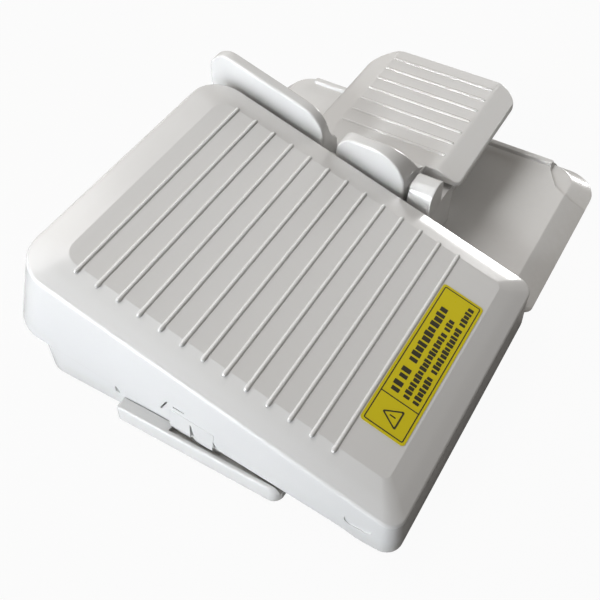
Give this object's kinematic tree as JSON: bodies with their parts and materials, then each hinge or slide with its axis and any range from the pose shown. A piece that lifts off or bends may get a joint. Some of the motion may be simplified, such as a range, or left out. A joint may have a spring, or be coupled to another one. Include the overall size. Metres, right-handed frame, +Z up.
{
  "type": "sewing machine foot controller",
  "caption": "Foot controller with a wide sloped tread pedal, a small side pedal with an upright guard, and the mounting plate that joins them.",
  "frame": {"origin": "on the ground, under the middle of the whole controller's outer box", "axes": "+X to the user's right, where the side pedal is; +Y to the toe end; +Z up"},
  "size_m": [0.3124, 0.2386, 0.1053],
  "materials": {
    "shell_plastic": "satin off-white moulded ABS",
    "label_film": "yellow printed film with black border",
    "frame_plastic": "grey glass-filled nylon",
    "steel": "zinc-plated",
    "nylon": "natural acetal",
    "rubber": "soft dark grey",
    "circuit_board": "solder-masked laminate",
    "black_plastic": "moulded black"
  },
  "bodies": {
    "base": {"main_base": "shell_plastic", "pedal_axle": "steel", "axle_caps": "frame_plastic", "axle_cap_screws": "steel", "return_spring_left": "steel", "return_spring_right": "steel", "stop_bumpers": "rubber", "main_board": "circuit_board", "board_screws": "steel", "board_components": "black_plastic", "sensor_body": "black_plastic", "machine_jack": "black_plastic", "side_pedal_jack": "black_plastic", "jack_nuts": "steel", "base_feet": "rubber", "mounting_plate": "shell_plastic", "plate_feet": "rubber", "plate_screws": "steel", "side_base": "shell_plastic", "side_floor": "frame_plastic", "side_floor_screws": "steel", "side_axle": "steel", "side_axle_clip": "steel", "side_spring": "steel", "side_bumper": "rubber", "side_sensor_body": "black_plastic", "side_board": "circuit_board", "side_board_components": "black_plastic", "side_cord_gland": "rubber"},
    "tread": {"main_pedal_cover": "shell_plastic", "warning_label": "label_film", "pedal_frame": "frame_plastic", "cover_screws": "steel", "pedal_bushes": "nylon"},
    "speed_slider": {"sensor_slider": "nylon"},
    "side_tread": {"side_pedal": "shell_plastic"},
    "side_plunger": {"side_sensor_plunger": "nylon"}
  },
  "joints": [
    {"name": "tread_hinge", "type": "hinge", "parent": "base", "child": "tread", "pos_m": [-0.06525, -0.09728, 0.017], "axis": [-1, 0, 0], "range_deg": [0, 5], "stiffness_Nm_per_rad": 8, "springref_deg": -4.3, "deforming": ["return_spring_left", "return_spring_right"]},
    {"name": "speed_slide", "type": "slide", "parent": "base", "child": "speed_slider", "axis": [0, 0, -1], "range_m": [0, 0.009]},
    {"name": "side_hinge", "type": "hinge", "parent": "base", "child": "side_tread", "pos_m": [0.03525, -0.00728, 0.0525], "axis": [0, 1, 0], "range_deg": [0, 8], "stiffness_Nm_per_rad": 1.3, "springref_deg": -5.73, "deforming": ["side_spring"]},
    {"name": "side_slide", "type": "slide", "parent": "base", "child": "side_plunger", "axis": [0, 0, -1], "range_m": [0, 0.003]}
  ],
  "couplings": [
    {"joint": "speed_slide", "follows": "tread_hinge", "m_per_rad": 0.098},
    {"joint": "side_slide", "follows": "side_hinge", "m_per_rad": 0.0205}
  ]
}
